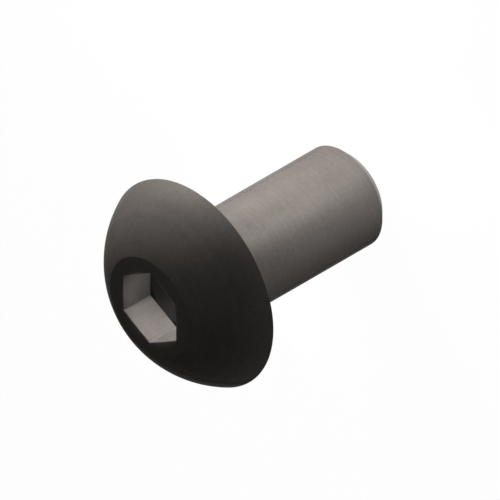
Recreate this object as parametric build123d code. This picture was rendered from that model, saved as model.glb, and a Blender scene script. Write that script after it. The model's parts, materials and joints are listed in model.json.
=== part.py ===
from build123d import *
import math
import os

# Button head socket screw, M3 x 6, formed from one piece of steel wire.
# The origin is on the screw's axis in the bearing plane under the head. The head rises along +Z,
# and the shank runs down along -Z to the tip, on which the screw stands.

# Driving sizes, in millimetres and degrees
shank_diameter = 3.0
shank_length = 6.0  # from the bearing plane to the tip
tip_chamfer = 0.27  # the same along the shank and towards its axis
neck_fillet_radius = 0.1  # between the shank and the underside of the head
head_diameter = 6.19  # across the corner of the rim, before the rim is eased
head_height = 1.65
rim_edge_radius = 0.02
crown_diameter = 3.02  # of the flat on top of the head, around the socket
socket_across_flats = 2.0
socket_depth = 1.02  # of the six walls, without the point below them
socket_point_angle = 120.0  # between opposite sides of the cone that the drill point left
socket_point_land = 0.02  # flat floor left between that cone and the middle of each wall

# Radii and levels that follow from the driving sizes
shank_radius = shank_diameter / 2
head_radius = head_diameter / 2
crown_radius = crown_diameter / 2
socket_inner_radius = socket_across_flats / 2
socket_floor_level = head_height - socket_depth
socket_point_radius = socket_inner_radius - socket_point_land
socket_point_depth = socket_point_radius / math.tan(math.radians(socket_point_angle / 2))

# The dome is part of a sphere whose centre lies on the screw's axis. The sphere passes through the
# edge of the crown and through the corner of the rim.
dome_centre_level = (crown_radius**2 + head_height**2 - head_radius**2) / (2 * head_height)
dome_radius = math.hypot(head_radius, dome_centre_level)


def dome_point(radius):
    """Return the point of the dome's half section that lies at this distance from the axis."""
    return (radius, dome_centre_level + math.sqrt(dome_radius**2 - radius**2))


def head_blank():
    """Revolve the domed head, flat on top and underneath, with no socket yet."""
    crown_edge = (crown_radius, head_height)
    rim_corner = (head_radius, 0)
    dome_middle = dome_point((crown_radius + head_radius) / 2)
    outline = Polyline(rim_corner, (0, 0), (0, head_height), crown_edge)
    outline += ThreePointArc(crown_edge, dome_middle, rim_corner)
    return revolve(make_face(Plane.XZ * outline), Axis.Z)


def shank_blank():
    """Make the round shank under the head, with a chamfer around its tip."""
    shank = Pos(0, 0, -shank_length / 2) * Cylinder(shank_radius, shank_length)
    tip_edge = shank.edges().filter_by(GeomType.CIRCLE).sort_by(Axis.Z)[0]
    return chamfer(tip_edge, tip_chamfer)


def round_edge(blank, radius):
    """Return the circular edge of this radius that lies in the bearing plane."""
    circles = blank.edges().filter_by(GeomType.CIRCLE)
    return circles.sort_by(lambda edge: abs(edge.radius - radius) + abs(edge.center().Z))[0]


def drive_socket():
    """Make the space of the drive socket: a hexagon, and the drill's conical point at its floor."""
    hexagon = RegularPolygon(socket_inner_radius, 6, major_radius=False, rotation=30)
    hexagon_space = extrude(hexagon, socket_depth)
    point_space = Cone(0, socket_point_radius, socket_point_depth, align=(Align.CENTER, Align.CENTER, Align.MAX))
    return Pos(0, 0, socket_floor_level) * (hexagon_space + point_space)


def screw():
    """Join head and shank, round the neck, ease the rim and cut the drive socket."""
    blank = head_blank() + shank_blank()
    blank = fillet(round_edge(blank, shank_radius), neck_fillet_radius)
    blank = fillet(round_edge(blank, head_radius), rim_edge_radius)
    return blank - drive_socket()


os.makedirs("parts", exist_ok=True)
export_step(screw(), "parts/screw.step")
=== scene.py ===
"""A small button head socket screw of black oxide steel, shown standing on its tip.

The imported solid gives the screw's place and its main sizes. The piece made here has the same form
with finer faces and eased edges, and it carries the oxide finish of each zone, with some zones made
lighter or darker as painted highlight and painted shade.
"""
import json
import logging
import math
from dataclasses import dataclass
from enum import Enum

import bpy
from mathutils import Matrix, Vector


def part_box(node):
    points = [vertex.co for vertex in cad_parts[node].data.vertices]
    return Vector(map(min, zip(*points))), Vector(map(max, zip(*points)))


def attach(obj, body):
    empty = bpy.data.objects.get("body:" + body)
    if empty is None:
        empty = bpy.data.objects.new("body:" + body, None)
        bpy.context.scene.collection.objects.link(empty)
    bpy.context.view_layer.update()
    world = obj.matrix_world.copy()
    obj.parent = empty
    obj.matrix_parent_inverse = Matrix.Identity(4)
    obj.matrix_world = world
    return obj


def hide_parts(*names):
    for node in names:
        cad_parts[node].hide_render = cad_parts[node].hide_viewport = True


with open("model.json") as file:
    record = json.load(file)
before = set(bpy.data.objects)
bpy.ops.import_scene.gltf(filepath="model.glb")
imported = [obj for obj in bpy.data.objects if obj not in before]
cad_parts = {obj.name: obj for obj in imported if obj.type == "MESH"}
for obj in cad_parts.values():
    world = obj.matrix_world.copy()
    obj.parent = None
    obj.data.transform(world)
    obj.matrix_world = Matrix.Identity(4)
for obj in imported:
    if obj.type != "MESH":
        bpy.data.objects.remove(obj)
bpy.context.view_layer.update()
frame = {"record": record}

Ring = tuple[float, float]  # a radius and a level, in metres
Colour = tuple[float, float, float]

MM = 0.001
NODE = "screw"
BODY = "root"
RIGHT_ANGLE = math.pi / 2
HEXAGON_SIDES = 6
HEXAGON_CORNER = 1 / math.cos(math.pi / HEXAGON_SIDES)  # how far out a corner is, with flats 1 out
NOISE_MIDDLE = 0.5

log = logging.getLogger("button_head_screw")


# Working in Blender by hand


def deselect_all() -> None:
    """Leave every object unselected, so that an operator acts on new work alone."""
    if bpy.context.object and bpy.context.object.mode != "OBJECT":
        bpy.ops.object.mode_set(mode="OBJECT")
    bpy.ops.object.select_all(action="DESELECT")


def take_up(piece: bpy.types.Object) -> None:
    """Make one object the selected and active one.

    Args:
        piece: The object to work on.
    """
    deselect_all()
    piece.select_set(True)
    bpy.context.view_layer.objects.active = piece


def new_piece(name: str) -> bpy.types.Object:
    """Name the primitive that was just added, and its mesh.

    Args:
        name: The name for both.

    Returns:
        The active object.
    """
    piece = bpy.context.object
    piece.name = name
    piece.data.name = name
    return piece


def seat_in_mesh(piece: bpy.types.Object) -> None:
    """Move a piece's place and turn into its mesh, so that its object stands at the origin.

    Args:
        piece: The object to seat.
    """
    take_up(piece)
    bpy.ops.object.transform_apply(location=True, rotation=True, scale=True)


def stack_ring(ring: Ring, next_ring: Ring) -> None:
    """Extrude the selected cap of a piece to a new level, and scale it to a new radius.

    Args:
        ring: The cap's radius and level now.
        next_ring: Its radius and level afterwards.
    """
    (radius, level), (next_radius, next_level) = ring, next_ring
    bpy.ops.mesh.extrude_region_move(TRANSFORM_OT_translate={"value": (0, 0, next_level - level)})
    grow = next_radius / radius
    bpy.ops.transform.resize(value=(grow, grow, 1), center_override=(0, 0, next_level))


def raise_piece(name: str, sides: int, rings: list[Ring]) -> bpy.types.Object:
    """Raise a closed piece around the Z axis from a disc, ring by ring.

    Args:
        name: The piece's name.
        sides: How many sides it has. A corner lies along Y.
        rings: The radius and level of each ring, from the disc at the bottom upward.

    Returns:
        The closed piece.
    """
    radius, level = rings[0]
    deselect_all()
    bpy.ops.mesh.primitive_circle_add(
        vertices=sides, radius=radius, fill_type="NGON", location=(0, 0, level)
    )
    piece = new_piece(name)
    seat_in_mesh(piece)
    bpy.ops.object.mode_set(mode="EDIT")
    bpy.ops.mesh.select_mode(type="FACE")
    bpy.ops.mesh.select_all(action="SELECT")
    for ring, next_ring in zip(rings, rings[1:]):
        stack_ring(ring, next_ring)
    bpy.ops.mesh.select_all(action="SELECT")
    bpy.ops.mesh.normals_make_consistent(inside=False)
    bpy.ops.object.mode_set(mode="OBJECT")
    return piece


def cut_away(piece: bpy.types.Object, cutter: bpy.types.Object) -> None:
    """Cut the space of one closed piece out of another, and put the cutter away.

    Args:
        piece: The object that is cut.
        cutter: The object whose space is taken out of it.
    """
    take_up(piece)
    cut = piece.modifiers.new("cut", "BOOLEAN")
    cut.operation = "DIFFERENCE"
    cut.solver = "EXACT"
    cut.object = cutter
    bpy.ops.object.modifier_apply(modifier=cut.name)
    bpy.data.objects.remove(cutter)


# Sizes and forms of the screw


def spaced(start: float, end: float, steps: int) -> list[float]:
    """Return evenly spaced numbers from start to end, both included."""
    return [start + (end - start) * step / steps for step in range(steps + 1)]


@dataclass(frozen=True)
class ScrewSizes:
    """The screw's radii and levels, in metres. The bearing plane under the head is level 0."""

    shank_radius: float
    tip_level: float
    crown_level: float
    tip_chamfer: float = 0.27 * MM
    neck_radius: float = 0.1 * MM
    rim_corner_radius: float = 3.095 * MM
    rim_radius: float = 0.02 * MM
    crown_radius: float = 1.51 * MM
    edge_ease: float = 0.01 * MM
    socket_inner_radius: float = 1.0 * MM
    socket_depth: float = 1.02 * MM
    socket_point_land: float = 0.02 * MM
    socket_point_half_angle: float = math.radians(60)

    @classmethod
    def from_frame(cls) -> "ScrewSizes":
        """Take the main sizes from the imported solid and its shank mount.

        Returns:
            The sizes of this screw.
        """
        low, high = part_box(NODE)
        shank = next(mount for mount in frame["record"]["mounts"] if mount["name"] == "shank")
        return cls(
            shank_radius=shank["dims"]["r_mm"] * MM,
            tip_level=low[2],
            crown_level=high[2],
        )

    def socket_floor(self) -> float:
        """Return the level at which the socket's walls end."""
        return self.crown_level - self.socket_depth


@dataclass(frozen=True)
class ScrewBlank:
    """The round blank of the screw: tip, shank, neck, rim, dome and crown, with no socket."""

    sizes: ScrewSizes
    sides: int = 192
    neck_steps: int = 12
    rim_steps: int = 4
    dome_steps: int = 40

    def sphere(self) -> tuple[float, float]:
        """Find the sphere that the dome is part of.

        Returns:
            The level of its centre, and its radius.
        """
        s = self.sizes
        centre = (s.crown_radius**2 + s.crown_level**2 - s.rim_corner_radius**2) / (2 * s.crown_level)
        return centre, math.hypot(s.rim_corner_radius, centre)

    def dome_foot(self) -> float:
        """Find where the rim's rounding ends and the dome starts.

        Returns:
            The angle of that place above the centre of the dome's sphere.
        """
        centre, radius = self.sphere()
        return math.asin((self.sizes.rim_radius - centre) / (radius - self.sizes.rim_radius))

    def neck(self) -> list[Ring]:
        """Work out the hollow rounding between the shank and the bearing face.

        Returns:
            Its rings, from the shank outward.
        """
        s = self.sizes
        middle, middle_level = s.shank_radius + s.neck_radius, -s.neck_radius
        return [
            (middle - s.neck_radius * math.cos(turn), middle_level + s.neck_radius * math.sin(turn))
            for turn in spaced(0, RIGHT_ANGLE, self.neck_steps)
        ]

    def rim(self) -> list[Ring]:
        """Work out the small rounding between the bearing face and the dome.

        Returns:
            Its rings, from the bearing face up to the last one before the dome.
        """
        rounding = self.sizes.rim_radius
        _, radius = self.sphere()
        middle = (radius - rounding) * math.cos(self.dome_foot())
        return [
            (middle + rounding * math.cos(angle), rounding + rounding * math.sin(angle))
            for angle in spaced(-RIGHT_ANGLE, self.dome_foot(), self.rim_steps)[:-1]
        ]

    def dome(self) -> list[Ring]:
        """Work out the dome above the rim's rounding, and the eased edge of the crown.

        Returns:
            Its rings, from the rim up to the crown.
        """
        s = self.sizes
        centre, radius = self.sphere()
        end = math.atan2(s.crown_level - centre, s.crown_radius) - s.edge_ease / radius
        rings = [
            (radius * math.cos(angle), centre + radius * math.sin(angle))
            for angle in spaced(self.dome_foot(), end, self.dome_steps)
        ]
        return rings + [(s.crown_radius - s.edge_ease, s.crown_level)]

    def build(self) -> bpy.types.Object:
        """Raise the blank from a disc at the tip.

        Returns:
            The closed blank.
        """
        s = self.sizes
        tip = [
            (s.shank_radius - s.tip_chamfer, s.tip_level),
            (s.shank_radius, s.tip_level + s.tip_chamfer),
        ]
        rings = tip + self.neck() + self.rim() + self.dome()
        return raise_piece("button_head_screw", self.sides, rings)


@dataclass(frozen=True)
class DriveSocket:
    """The hexagon socket in the crown, with the conical point of its drilled floor."""

    sizes: ScrewSizes
    cone_sides: int = 120
    cone_end_radius: float = 0.01 * MM
    clearance: float = 0.2 * MM

    def hexagon(self) -> bpy.types.Object:
        """Make the hexagonal space with its eased mouth, standing proud of the crown.

        Returns:
            The closed piece that is cut away.
        """
        s = self.sizes
        walls = s.socket_inner_radius * HEXAGON_CORNER
        mouth = (s.socket_inner_radius + s.edge_ease + self.clearance) * HEXAGON_CORNER
        rings = [
            (walls, s.socket_floor()),
            (walls, s.crown_level - s.edge_ease),
            (mouth, s.crown_level + self.clearance),
        ]
        return raise_piece("hexagon_space", HEXAGON_SIDES, rings)

    def point(self) -> bpy.types.Object:
        """Make the conical space below the hexagon, down to the small end of its point.

        Returns:
            The closed piece that is cut away.
        """
        s = self.sizes
        radius = s.socket_inner_radius - s.socket_point_land
        slope = 1 / math.tan(s.socket_point_half_angle)
        rings = [
            (self.cone_end_radius, s.socket_floor() - (radius - self.cone_end_radius) * slope),
            (radius, s.socket_floor()),
            (radius, s.socket_floor() + self.clearance),
        ]
        return raise_piece("point_space", self.cone_sides, rings)

    def cut(self, blank: bpy.types.Object) -> None:
        """Cut the socket into the crown of a blank.

        Args:
            blank: The closed blank of the screw.
        """
        cut_away(blank, self.hexagon())
        cut_away(blank, self.point())


# Finishes


@dataclass(frozen=True)
class NodeWork:
    """Places shader nodes in one tree and joins them."""

    tree: bpy.types.NodeTree

    def feed(self, socket: bpy.types.NodeSocket, value: object) -> None:
        """Set an input to a value, or link it to the output of another node.

        Args:
            socket: The input.
            value: A number, vector or colour, or the output that feeds it.
        """
        if isinstance(value, bpy.types.NodeSocket):
            self.tree.links.new(value, socket)
        else:
            socket.default_value = value

    def add(
        self, kind: str, *parts: object, options: dict[str, object] | None = None, **values: object
    ) -> bpy.types.Node:
        """Add a node, set its options, and set or feed its inputs.

        Args:
            kind: The node's type, without the word ShaderNode.
            *parts: What goes into the first inputs that are in use, in their order.
            options: Its options by attribute name.
            **values: What goes into other inputs, by their names with _ for spaces.

        Returns:
            The new node.
        """
        node = self.tree.nodes.new("ShaderNode" + kind)
        for option, value in (options or {}).items():
            setattr(node, option, value)
        for socket, part in zip([socket for socket in node.inputs if socket.enabled], parts):
            self.feed(socket, part)
        for name, value in values.items():
            self.feed(node.inputs[name.replace("_", " ")], value)
        return node

    def result(self, kind: str, *parts: object, **values: object) -> bpy.types.NodeSocket:
        """Add a node as add does, and return its first output that is in use."""
        return next(socket for socket in self.add(kind, *parts, **values).outputs if socket.enabled)

    def math(self, operation: str, *parts: object) -> bpy.types.NodeSocket:
        """Work out one number from up to three numbers or outputs."""
        return self.result("Math", *parts, options={"operation": operation})

    def vector_math(self, operation: str, *parts: object) -> bpy.types.NodeSocket:
        """Work out a vector or a number from a vector and one more vector or number."""
        return self.result("VectorMath", *parts, options={"operation": operation})

    def soft_step(
        self, value: bpy.types.NodeSocket, low: float, high: float, **ends: float
    ) -> bpy.types.NodeSocket:
        """Ease from 0 to 1, or between the given ends, as a value goes from low to high."""
        smooth = {"interpolation_type": "SMOOTHSTEP"}
        return self.result("MapRange", value, low, high, options=smooth, **ends)

    def millimetres(self) -> bpy.types.NodeSocket:
        """Return the place on the screw in millimetres."""
        return self.vector_math("SCALE", self.add("TexCoord").outputs["Object"], 1 / MM)

    def noise(self, place: bpy.types.NodeSocket, scale: float, detail: float) -> bpy.types.NodeSocket:
        """Return a soft noise between 0 and 1 at a place, with the given fineness per millimetre."""
        return self.result("TexNoise", Vector=place, Scale=scale, Detail=detail)

    def place(self, group: bpy.types.NodeTree, **values: object) -> bpy.types.NodeOutputs:
        """Place a shared group with its own values, and return its outputs."""
        return self.add("Group", options={"node_tree": group}, **values).outputs

    def given(self, name: str) -> bpy.types.NodeSocket:
        """Return what this group is given at one of its inputs."""
        return self.tree.nodes["Group Input"].outputs[name]

    def put_out(self, **values: bpy.types.NodeSocket) -> bpy.types.NodeTree:
        """Feed the outputs of this group.

        Args:
            **values: What feeds each output, by its name.

        Returns:
            The finished group.
        """
        for name, value in values.items():
            self.feed(self.tree.nodes["Group Output"].inputs[name], value)
        return self.tree


def new_group(name: str, inputs: dict[str, str], outputs: tuple[str, ...]) -> NodeWork:
    """Make an empty shader node group with named sockets.

    Args:
        name: The group's name.
        inputs: The kind of each input socket by its name.
        outputs: The names of its output sockets, which all carry numbers.

    Returns:
        The work on the group, with its input and output nodes in place.
    """
    group = bpy.data.node_groups.new(name, "ShaderNodeTree")
    for socket, kind in inputs.items():
        group.interface.new_socket(name=socket, in_out="INPUT", socket_type="NodeSocket" + kind)
    for socket in outputs:
        group.interface.new_socket(name=socket, in_out="OUTPUT", socket_type="NodeSocketFloat")
    for kind in ("NodeGroupInput", "NodeGroupOutput"):
        group.nodes.new(kind)
    return NodeWork(group)


@dataclass(frozen=True)
class OxideSkin:
    """The grown oxide skin: soft cloudy patches, a fine crystal grain and small darker pits."""

    patch_scale: float = 1.1
    patch_detail: float = 3.0
    patch_roughness: float = 0.5
    grain_scale: float = 9.0
    grain_detail: float = 4.0
    grain_roughness: float = 0.3
    pit_scale: float = 9.0
    pit_detail: float = 2.0
    pit_range: tuple[float, float] = (0.67, 0.77)
    pit_depth: float = 0.6

    def group(self) -> bpy.types.NodeTree:
        """Build the node group.

        Returns:
            A group that turns the strength of patches and grain into a shade around 1, a change of
            roughness around 0 and a height.
        """
        kinds = {"Patches": "Float", "Grain": "Float"}
        work = new_group("oxide_skin", kinds, ("Shade", "Roughness", "Height"))
        place = work.millimetres()
        patch_noise = work.noise(place, self.patch_scale, self.patch_detail)
        patch = work.math("SUBTRACT", patch_noise, NOISE_MIDDLE)
        patch = work.math("MULTIPLY", patch, work.given("Patches"))
        grain_noise = work.noise(place, self.grain_scale, self.grain_detail)
        grain = work.math("SUBTRACT", grain_noise, NOISE_MIDDLE)
        pit = work.soft_step(work.noise(place, self.pit_scale, self.pit_detail), *self.pit_range)
        height = work.math("MULTIPLY_ADD", pit, -self.pit_depth, grain)
        fine = work.math("MULTIPLY", height, work.given("Grain"))
        shade = work.math("ADD", work.math("ADD", patch, fine), 1.0)
        patch_rough = work.math("MULTIPLY", patch, self.patch_roughness)
        fine_rough = work.math("MULTIPLY", fine, self.grain_roughness)
        rough = work.math("SUBTRACT", patch_rough, fine_rough)
        return work.put_out(Shade=shade, Roughness=rough, Height=height)


@dataclass(frozen=True)
class ToolLines:
    """Fine lines that a tool left: rings around the axis, or strokes along it."""

    line_detail: float = 3.0
    wander: float = 0.03
    wander_scale: float = 0.8
    wander_detail: float = 1.0

    def group(self) -> bpy.types.NodeTree:
        """Build the node group.

        Returns:
            A group whose lines cross a direction given as shares of the distance from the axis, of the
            angle around it and of the level. It puts out a shade around 1 and a height.
        """
        kinds = {"Direction": "Vector", "Fineness": "Float", "Contrast": "Float"}
        work = new_group("tool_lines", kinds, ("Shade", "Height"))
        place = work.millimetres()
        part = work.add("SeparateXYZ", place).outputs
        squared = work.math("MULTIPLY_ADD", part["X"], part["X"], work.math("POWER", part["Y"], 2.0))
        angle = work.math("ARCTAN2", part["Y"], part["X"])
        around = work.result("CombineXYZ", work.math("SQRT", squared), angle, part["Z"])
        across = work.vector_math("DOT_PRODUCT", around, work.given("Direction"))
        wander_noise = work.noise(place, self.wander_scale, self.wander_detail)
        travel = work.math("ADD", across, work.math("MULTIPLY", wander_noise, self.wander))
        lines = work.result(
            "TexNoise", options={"noise_dimensions": "1D"},
            W=travel, Scale=work.given("Fineness"), Detail=self.line_detail,
        )
        height = work.math("SUBTRACT", lines, NOISE_MIDDLE)
        shade = work.math("MULTIPLY_ADD", height, work.given("Contrast"), 1.0)
        return work.put_out(Shade=shade, Height=height)


@dataclass(frozen=True)
class RubbedEdge:
    """The thin bright line along an outer edge, where handling has rubbed the oxide down."""

    reach: float = 0.05 * MM
    samples: int = 6
    starts: float = 0.004
    full: float = 0.12
    patch_scale: float = 3.0
    patch_detail: float = 2.0

    def group(self) -> bpy.types.NodeTree:
        """Build the node group.

        Returns:
            A group that puts out how far the oxide is rubbed down, from 0 to its input Wear.
        """
        work = new_group("rubbed_edge", {"Wear": "Float"}, ("Rubbed",))
        face = work.add("NewGeometry").outputs["Normal"]
        turned = work.result("Bevel", self.reach, options={"samples": self.samples})
        turn = work.math("SUBTRACT", 1.0, work.vector_math("DOT_PRODUCT", turned, face))
        rubbed = work.result("MapRange", turn, self.starts, self.full, To_Max=work.given("Wear"))
        patchy = work.noise(work.millimetres(), self.patch_scale, self.patch_detail)
        return work.put_out(Rubbed=work.math("MULTIPLY", rubbed, patchy))


class Lay(Enum):
    """Which way the tool lines of a zone run, as shares of reach, angle and level."""

    RINGS = (1.0, 0.0, 0.6)
    ALONG_SHANK = (0.3, 0.0, 1.0)
    STROKES = (0.0, 1.0, 0.0)


@dataclass(frozen=True)
class OxideFinish:
    """Black oxide on one zone of the steel."""

    name: str
    colour: Colour
    lay: Lay
    roughness: float
    fineness: float = 14.0
    contrast: float = 0.22
    patches: float = 0.3
    grain: float = 0.3
    wear: float = 0.3
    metallic: float = 0.35
    shine: float = 0.03
    edge_shine: Colour = (0.2, 0.19, 0.18)
    rubbed_colour: Colour = (0.3, 0.285, 0.27)
    rubbed_polish: float = 0.2
    relief: float = 0.002 * MM
    skin_relief: float = 0.6

    def material(self, groups: dict[str, bpy.types.NodeTree]) -> bpy.types.Material:
        """Build the material.

        Args:
            groups: The shared node groups by name.

        Returns:
            The material of this zone.
        """
        material = bpy.data.materials.new(self.name)
        material.use_nodes = True
        work = NodeWork(material.node_tree)
        shader = material.node_tree.nodes["Principled BSDF"].inputs
        shader["Metallic"].default_value = self.metallic
        shader["Specular IOR Level"].default_value = self.shine
        shader["Specular Tint"].default_value = (*self.edge_shine, 1.0)
        skin = work.place(groups["oxide_skin"], Patches=self.patches, Grain=self.grain)
        lines = work.place(
            groups["tool_lines"],
            Direction=self.lay.value, Fineness=self.fineness, Contrast=self.contrast,
        )
        rubbed = work.place(groups["rubbed_edge"], Wear=self.wear)["Rubbed"]
        shade = work.math("MULTIPLY", skin["Shade"], lines["Shade"])
        oxide = work.vector_math("SCALE", self.colour, shade)
        bare = (*self.rubbed_colour, 1.0)
        colour = work.result("Mix", rubbed, oxide, bare, options={"data_type": "RGBA"})
        work.feed(shader["Base Color"], colour)
        rough = work.math("ADD", skin["Roughness"], self.roughness)
        work.feed(shader["Roughness"], work.math("MULTIPLY_ADD", rubbed, -self.rubbed_polish, rough))
        height = work.math("MULTIPLY_ADD", skin["Height"], self.skin_relief, lines["Height"])
        work.feed(shader["Normal"], work.result("Bump", Distance=self.relief, Height=height))
        return material


class Zone(Enum):
    """The zones of the screw's surface, by the place of their finish in the piece's materials."""

    HEAD = 0
    SHANK = 1
    SOCKET_WALLS = 2
    SOCKET_FLOOR = 3
    TIP_CHAMFER = 4


@dataclass(frozen=True)
class ButtonHeadScrew:
    """The whole screw: its blank, its socket, and the finish of each zone."""

    sizes: ScrewSizes
    smooth_below: float = math.radians(10)
    oxide: Colour = (0.121, 0.1085, 0.1)
    # painted shade: the head's oxide is darkened to 0.85 of the shank's, standing in for the shade on the
    # dome
    head_painted_shade: float = 0.85
    # painted highlight: the socket walls' oxide is lightened to 1.25 times, standing in for the light the
    # walls catch
    wall_painted_highlight: float = 1.25
    # painted shade: the socket's drilled floor is darkened to 0.2 of the oxide, standing in for the shade
    # deep in the recess
    floor_painted_shade: float = 0.2
    # painted highlight: the tip chamfer is lightened to 2.2 times the oxide, standing in for the light
    # its downward face catches
    chamfer_painted_highlight: float = 2.2
    crown_to_socket: float = 1.2

    def toned(self, tone: float) -> Colour:
        """Return the oxide's colour, made lighter for painted highlight or darker for painted shade."""
        return tuple(tone * part for part in self.oxide)

    def finishes(self) -> dict[Zone, OxideFinish]:
        """Choose the finishes.

        Returns:
            The finish of each zone.
        """
        head, walls = self.toned(self.head_painted_shade), self.toned(self.wall_painted_highlight)
        floor, chamfer = self.toned(self.floor_painted_shade), self.toned(self.chamfer_painted_highlight)
        return {
            # painted shade: the head's finish takes the darkened oxide colour
            Zone.HEAD: OxideFinish("black_oxide_head", head, Lay.RINGS, roughness=0.62, fineness=16.0),
            Zone.SHANK: OxideFinish("black_oxide_shank", self.oxide, Lay.ALONG_SHANK, roughness=0.6),
            # painted highlight: the socket walls take the lightened oxide colour
            Zone.SOCKET_WALLS: OxideFinish("black_oxide_socket", walls, Lay.STROKES, roughness=0.5),
            # painted shade: the socket's floor takes the darkened oxide colour
            Zone.SOCKET_FLOOR: OxideFinish(
                "black_oxide_socket_floor", floor, Lay.RINGS, roughness=0.65, contrast=0.4, wear=0.0
            ),
            # painted highlight over the whole chamfer, with real rubbed wear along its edges
            Zone.TIP_CHAMFER: OxideFinish(
                "painted_highlight_rubbed_tip_chamfer", chamfer, Lay.ALONG_SHANK, roughness=0.5, contrast=0.4, wear=0.5
            ),
        }

    def zone(self, centre: Vector) -> Zone:
        """Tell which zone a face belongs to.

        Args:
            centre: The face's centre.

        Returns:
            Its zone.
        """
        s = self.sizes
        if s.tip_level < centre.z - s.edge_ease < s.tip_level + s.tip_chamfer:
            return Zone.TIP_CHAMFER
        if centre.z < -s.neck_radius:
            return Zone.SHANK
        near_axis = math.hypot(centre.x, centre.y) < s.crown_radius / self.crown_to_socket
        if not near_axis or not 0 < centre.z < s.crown_level - s.edge_ease:
            return Zone.HEAD
        on_wall = centre.z > s.socket_floor() + s.edge_ease
        return Zone.SOCKET_WALLS if on_wall else Zone.SOCKET_FLOOR

    def build(self) -> bpy.types.Object:
        """Form the screw and dress it.

        Returns:
            The finished piece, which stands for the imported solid.
        """
        screw = ScrewBlank(self.sizes).build()
        DriveSocket(self.sizes).cut(screw)
        take_up(screw)
        bpy.ops.object.shade_smooth_by_angle(angle=self.smooth_below)
        groups = {
            "oxide_skin": OxideSkin().group(),
            "tool_lines": ToolLines().group(),
            "rubbed_edge": RubbedEdge().group(),
        }
        finishes = self.finishes()
        screw.data.materials.clear()
        for zone in Zone:
            screw.data.materials.append(finishes[zone].material(groups))
        for face in screw.data.polygons:
            face.material_index = self.zone(face.center).value
        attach(screw, BODY)
        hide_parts(NODE)
        return screw


# The studio around the screw


@dataclass(frozen=True)
class View:
    """The camera: an isometric view onto the head, turned so that the shank runs up to the right."""

    towards_viewer: tuple[float, float, float] = (1, 1, 1)
    upward: tuple[float, float, float] = (-1, 2, -1)
    pixels: int = 500
    pixels_per_mm: float = 37.07
    head_centre_pixel: tuple[float, float] = (192.94, 282.97)
    distance: float = 60 * MM
    nearest: float = 1 * MM
    farthest: float = 1000 * MM

    def build(self) -> None:
        """Add the camera, aim it and make it the scene's camera."""
        back = Vector(self.towards_viewer).normalized()
        up = Vector(self.upward).normalized()
        right = up.cross(back)
        metres_per_pixel = MM / self.pixels_per_mm
        to_right = self.pixels / 2 - self.head_centre_pixel[0]
        to_top = self.head_centre_pixel[1] - self.pixels / 2
        target = (right * to_right + up * to_top) * metres_per_pixel
        deselect_all()
        bpy.ops.object.camera_add()
        camera = bpy.context.object
        camera.name = "camera"
        turn = Matrix((right, up, back)).transposed().to_4x4()
        camera.matrix_world = Matrix.Translation(target + back * self.distance) @ turn
        camera.data.type = "ORTHO"
        camera.data.ortho_scale = self.pixels * metres_per_pixel
        camera.data.clip_start = self.nearest
        camera.data.clip_end = self.farthest
        bpy.context.scene.camera = camera


@dataclass(frozen=True)
class Softbox:
    """A soft lamp that faces the screw's axis.

    Attributes:
        name: The lamp's name.
        azimuth: Its direction from the screw, in degrees from +X towards +Y.
        distance: How far it stands from the screw's axis, in metres.
        level: The level of its middle, in metres.
        size: Its width and height, in metres.
        glow: How bright its face is, where 1 would show as white.
        aim: The level on the axis that it faces, in metres, or its own level where there is none.
        spread: The angle that its light spreads over, in degrees.
        shape: The shape of its face.
    """

    name: str
    azimuth: float
    distance: float
    level: float
    size: tuple[float, float]
    glow: float
    aim: float | None = None
    spread: float = 180.0
    shape: str = "RECTANGLE"

    def build(self) -> None:
        """Add the lamp and turn it to the screw's axis."""
        turn = math.radians(self.azimuth)
        place = Vector((math.cos(turn) * self.distance, math.sin(turn) * self.distance, self.level))
        aim = Vector((0, 0, self.level if self.aim is None else self.aim))
        deselect_all()
        bpy.ops.object.light_add(type="AREA", location=place)
        lamp = bpy.context.object
        lamp.name = self.name
        lamp.rotation_mode = "QUATERNION"
        lamp.rotation_quaternion = (aim - place).to_track_quat("-Z", "Y")
        lamp.data.shape = self.shape
        lamp.data.size, lamp.data.size_y = self.size
        lamp.data.spread = math.radians(self.spread)
        lamp.data.energy = math.pi * self.size[0] * self.size[1] * self.glow
        lamp.visible_camera = False


@dataclass(frozen=True)
class SocketSpot:
    """A narrow lamp whose beam just fills the mouth of the drive socket.

    Attributes:
        name: The lamp's name.
        azimuth: Its direction from the screw, in degrees from +X towards +Y.
        elevation: How steeply it shines down into the socket, in degrees.
        glow: How bright its face is.
        mouth_level: The level of the socket's mouth, in metres.
        reach: How far it stands from the middle of the mouth, in metres.
        width: Its width, in metres.
        spread: The angle that its light spreads over, in degrees.
    """

    name: str
    azimuth: float
    elevation: float
    glow: float
    mouth_level: float = 1.65 * MM
    reach: float = 2.6 * MM
    width: float = 1.95 * MM
    spread: float = 5.0

    def build(self) -> None:
        """Add the lamp, as high as the mouth looks from its place."""
        steep = math.radians(self.elevation)
        distance = self.reach * math.cos(steep)
        level = self.mouth_level + self.reach * math.sin(steep)
        size = (self.width, self.width * math.sin(steep))
        Softbox(
            self.name, self.azimuth, distance, level, size, self.glow,
            aim=self.mouth_level, spread=self.spread, shape="ELLIPSE",
        ).build()


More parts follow.
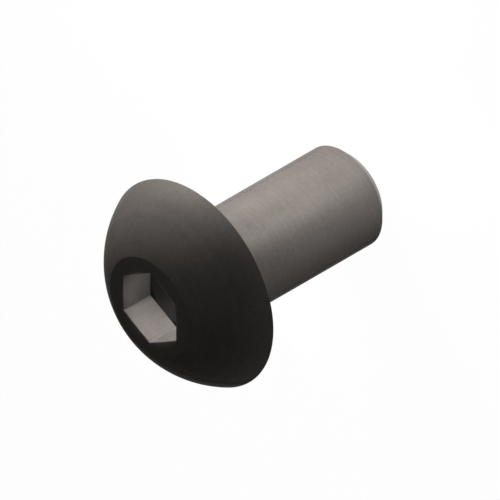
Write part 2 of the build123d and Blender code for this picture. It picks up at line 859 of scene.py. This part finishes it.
LOW_LEVEL = -5.3 * MM
LOW_SIZE = (2.4 * MM, 1.2 * MM)
FILL_DISTANCE = 6.5 * MM
LAMPS = (
    Softbox(
        "key_softbox", azimuth=120, distance=14 * MM, level=-3 * MM,
        size=(4.8 * MM, 5.5 * MM), glow=40.1,
    ),
    Softbox("low_strip", azimuth=60, distance=7 * MM, level=LOW_LEVEL, size=LOW_SIZE, glow=44.2),
    Softbox(
        "upper_softbox", azimuth=90, distance=15.556 * MM, level=15.556 * MM,
        size=(11 * MM, 8 * MM), glow=2.475, aim=0.5 * MM,
    ),
    Softbox(
        "side_softbox", azimuth=170, distance=14 * MM, level=2.5 * MM,
        size=(4.8 * MM, 5 * MM), glow=2.61,
    ),
    Softbox(
        "socket_lamp", azimuth=90, distance=1.1 * MM, level=1.25 * MM,
        size=(0.16 * MM, 0.5 * MM), glow=105.0, aim=1.1 * MM, spread=138,
    ),
    SocketSpot("socket_spot_right", azimuth=75, elevation=28, glow=0.43),
    SocketSpot("socket_spot_middle", azimuth=90, elevation=38, glow=0.56),
    SocketSpot("socket_spot_left", azimuth=120, elevation=28, glow=0.66),
    Softbox(
        "back_fill_left", azimuth=215, distance=FILL_DISTANCE, level=LOW_LEVEL,
        size=LOW_SIZE, glow=12.0,
    ),
    Softbox(
        "back_fill_right", azimuth=240, distance=FILL_DISTANCE, level=LOW_LEVEL,
        size=LOW_SIZE, glow=6.0,
    ),
)


def grey(level: float) -> tuple[float, float, float, float]:
    """Return an opaque grey."""
    return (level, level, level, 1.0)


@dataclass(frozen=True)
class Studio:
    """The pale floor, the lamps and the even light around them."""

    floor_level: float
    floor_size: float = 4.0
    floor_matt: float = 0.8
    floor_glow: float = 0.98
    floor_shadow: float = 0.03
    sky: float = 0.05
    horizon: tuple[float, float] = (0.02, 0.15)

    def background_rays(self, work: NodeWork) -> bpy.types.NodeSocket:
        """Tell the rays that show the background: to the camera, in gloss and through glass.

        Args:
            work: The work on the nodes of the floor or the world.

        Returns:
            The output that is 1 for these rays and 0 for the others.
        """
        path = work.add("LightPath").outputs
        seen = work.math("MAXIMUM", path["Is Camera Ray"], path["Is Glossy Ray"])
        return work.math("MAXIMUM", seen, path["Is Transmission Ray"])

    def floor_white(self) -> bpy.types.Material:
        """Build the floor's material. It shows pale, keeps the shadow, and is clear from below.

        Returns:
            The material.
        """
        material = bpy.data.materials.new("floor_white")
        material.use_nodes = True
        nodes = material.node_tree.nodes
        nodes.remove(nodes["Principled BSDF"])
        work = NodeWork(material.node_tree)
        matt = work.result("BsdfDiffuse", grey(self.floor_matt))
        faint = work.result("BsdfDiffuse", grey(self.floor_shadow))
        shown = work.result("AddShader", work.result("Emission", Strength=self.floor_glow), faint)
        top = work.result("MixShader", self.background_rays(work), matt, shown)
        below = work.add("NewGeometry").outputs["Backfacing"]
        sides = work.result("MixShader", below, top, work.result("BsdfTransparent"))
        work.feed(nodes["Material Output"].inputs["Surface"], sides)
        return material

    def floor(self) -> None:
        """Lay the floor that the screw stands on."""
        deselect_all()
        bpy.ops.mesh.primitive_plane_add(size=self.floor_size, location=(0, 0, self.floor_level))
        floor = new_piece("floor")
        seat_in_mesh(floor)
        floor.data.materials.append(self.floor_white())

    def sky_light(self) -> None:
        """Give the world a dim even light, with a pale horizon that meets the floor."""
        world = bpy.data.worlds.new("soft_sky")
        bpy.context.scene.world = world
        world.use_nodes = True
        work = NodeWork(world.node_tree)
        height = work.add("SeparateXYZ", work.add("TexCoord").outputs["Generated"]).outputs["Z"]
        band = work.soft_step(height, *self.horizon, To_Min=1.0, To_Max=0.0)
        shown = work.math("MULTIPLY", band, self.background_rays(work))
        seen = work.math("MAXIMUM", shown, work.add("LightPath").outputs["Is Camera Ray"])
        background = world.node_tree.nodes["Background"].inputs
        strength = work.result("MapRange", seen, To_Min=self.sky, To_Max=self.floor_glow)
        work.feed(background["Strength"], strength)
        work.feed(background["Color"], grey(1.0))

    def build(self) -> None:
        """Set up the whole studio."""
        self.floor()
        self.sky_light()
        for lamp in LAMPS:
            lamp.build()
        View().build()
        bpy.context.scene.view_settings.view_transform = "Standard"


def main() -> None:
    """Build the screw and its studio, and report each piece."""
    logging.basicConfig(level=logging.INFO, format="%(name)s: %(message)s")
    sizes = ScrewSizes.from_frame()
    screw = ButtonHeadScrew(sizes).build()
    log.info("%s: %d faces, %d finishes", screw.name, len(screw.data.polygons), len(screw.data.materials))
    Studio(sizes.tip_level).build()
    log.info("studio: %d lamps", len(LAMPS))


if __name__ == "__main__":
    main()
